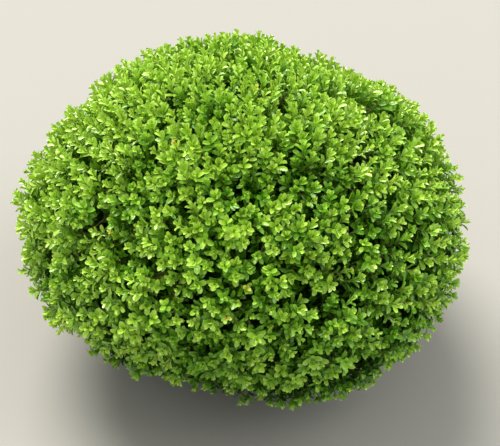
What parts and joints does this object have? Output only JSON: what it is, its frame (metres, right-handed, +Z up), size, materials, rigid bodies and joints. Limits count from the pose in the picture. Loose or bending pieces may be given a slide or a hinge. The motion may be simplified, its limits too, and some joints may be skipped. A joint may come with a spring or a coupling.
{
  "type": "box topiary ball",
  "caption": "Evergreen garden shrub clipped to a slightly flattened ball of small glossy leaves, on a short hidden stem with fanned boughs.",
  "frame": {"origin": "middle of the flat cut under the main stem, at ground level", "axes": "+Z up; -Y towards the side that the picture shows, +X to that view's right"},
  "size_m": [0.6458, 0.6403, 0.4434],
  "materials": {
    "bark": "rough, finely fissured grey-brown bark",
    "foliage": "small leathery leaves, satin, bright to dark green"
  },
  "bodies": {
    "root": {"main_stem": "bark", "bough_top": "bark", "bough_upper_1": "bark", "bough_upper_2": "bark", "bough_upper_3": "bark", "bough_upper_4": "bark", "bough_upper_5": "bark", "bough_lower_1": "bark", "bough_lower_2": "bark", "bough_lower_3": "bark", "bough_lower_4": "bark", "bough_lower_5": "bark", "bough_lower_6": "bark", "bough_lower_7": "bark", "foliage_top": "foliage", "foliage_upper_1": "foliage", "foliage_upper_2": "foliage", "foliage_upper_3": "foliage", "foliage_upper_4": "foliage", "foliage_upper_5": "foliage", "foliage_lower_1": "foliage", "foliage_lower_2": "foliage", "foliage_lower_3": "foliage", "foliage_lower_4": "foliage", "foliage_lower_5": "foliage", "foliage_lower_6": "foliage", "foliage_lower_7": "foliage"}
  },
  "joints": []
}
